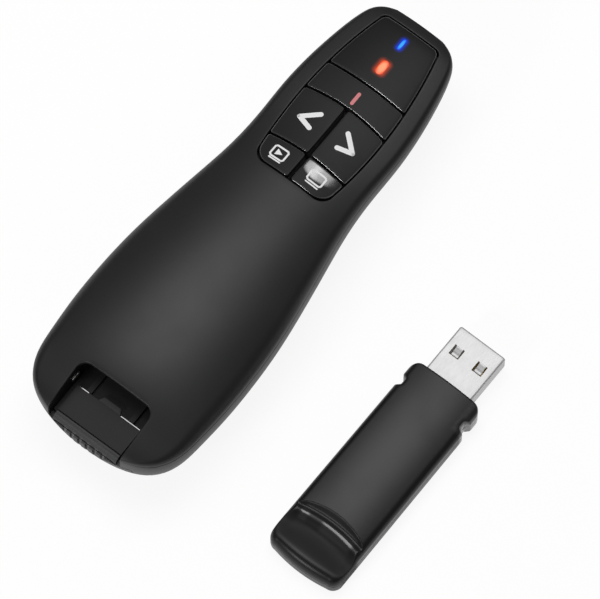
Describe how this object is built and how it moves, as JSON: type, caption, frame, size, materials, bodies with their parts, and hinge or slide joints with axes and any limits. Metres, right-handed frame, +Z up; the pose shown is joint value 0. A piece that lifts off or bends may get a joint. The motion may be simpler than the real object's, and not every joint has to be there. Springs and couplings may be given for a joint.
{
  "type": "wireless presentation clicker",
  "caption": "Hand-held presentation clicker with sprung keys, status lights, a laser, a sliding battery door and a plug-in receiver that stows in its tail.",
  "frame": {"origin": "on the level underside, below the middle of the handset's length, on its centre line", "axes": "+X towards the laser end of the handset, +Y to the left when it is held, +Z up through the keys; the receiver lies beside it, on the -Y side"},
  "size_m": [0.1164, 0.0809, 0.0241],
  "materials": {
    "shell_black": "matte",
    "key_black": "satin",
    "panel_black": "satin",
    "inner_black": "matte",
    "receiver_black": "gloss",
    "knob_grey": "satin",
    "switch_black": "matte",
    "chip_black": "matte",
    "plunger_cream": "satin",
    "board_green": "satin",
    "blue_light": "gloss",
    "orange_light": "gloss",
    "laser_brass": "satin",
    "clear_lens": "gloss",
    "dark_window": "gloss",
    "nickel_steel": "satin",
    "plug_steel": "satin",
    "contact_gold": "gloss",
    "tongue_white": "satin",
    "cell_skin": "satin"
  },
  "bodies": {
    "handset": {"top_cover": "shell_black", "bottom_cover": "shell_black", "led_panel": "panel_black", "link_light_pipe": "blue_light", "laser_light_pipe": "orange_light", "light_board": "board_green", "link_light": "blue_light", "laser_light": "orange_light", "key_carrier": "inner_black", "main_board": "board_green", "switch_bodies": "switch_black", "radio_chip": "chip_black", "crystal": "nickel_steel", "laser_module": "laser_brass", "laser_lens": "clear_lens", "laser_window": "dark_window", "power_switch": "switch_black", "receiver_tray": "inner_black", "bay_sill": "inner_black", "bay_catches": "nickel_steel", "battery_left": "cell_skin", "battery_right": "cell_skin", "battery_link": "nickel_steel", "battery_leaves": "nickel_steel", "receiver_top_cover": "receiver_black", "receiver_bottom_cover": "receiver_black", "usb_shell": "plug_steel", "usb_tongue": "tongue_white", "usb_contacts": "contact_gold", "receiver_board": "board_green", "receiver_chip": "chip_black"},
    "laser_key": {"laser_button": "key_black", "laser_plunger": "plunger_cream"},
    "previous_key": {"previous_button": "key_black", "previous_plunger": "plunger_cream"},
    "next_key": {"next_button": "key_black", "next_plunger": "plunger_cream"},
    "slideshow_key": {"slideshow_button": "key_black", "slideshow_plunger": "plunger_cream"},
    "blank_key": {"blank_button": "key_black", "blank_plunger": "plunger_cream"},
    "power_slider": {"power_knob": "knob_grey"},
    "door": {"battery_door": "shell_black"}
  },
  "joints": [
    {"name": "laser_press", "type": "slide", "parent": "handset", "child": "laser_key", "axis": [0, 0, -1], "range_m": [0, 0.0005], "stiffness_N_per_m": 1500, "springref_m": -0.0002},
    {"name": "previous_press", "type": "slide", "parent": "handset", "child": "previous_key", "axis": [0, 0, -1], "range_m": [0, 0.0005], "stiffness_N_per_m": 1500, "springref_m": -0.0002},
    {"name": "next_press", "type": "slide", "parent": "handset", "child": "next_key", "axis": [0, 0, -1], "range_m": [0, 0.0005], "stiffness_N_per_m": 1500, "springref_m": -0.0002},
    {"name": "slideshow_press", "type": "slide", "parent": "handset", "child": "slideshow_key", "axis": [0, 0, -1], "range_m": [0, 0.0005], "stiffness_N_per_m": 1500, "springref_m": -0.0002},
    {"name": "blank_press", "type": "slide", "parent": "handset", "child": "blank_key", "axis": [0, 0, -1], "range_m": [0, 0.0005], "stiffness_N_per_m": 1500, "springref_m": -0.0002},
    {"name": "power_slide", "type": "slide", "parent": "handset", "child": "power_slider", "axis": [1, 0, 0], "range_m": [0, 0.0024]},
    {"name": "door_slide", "type": "slide", "parent": "handset", "child": "door", "axis": [-1, 0, 0], "range_m": [0, 0.006]}
  ]
}
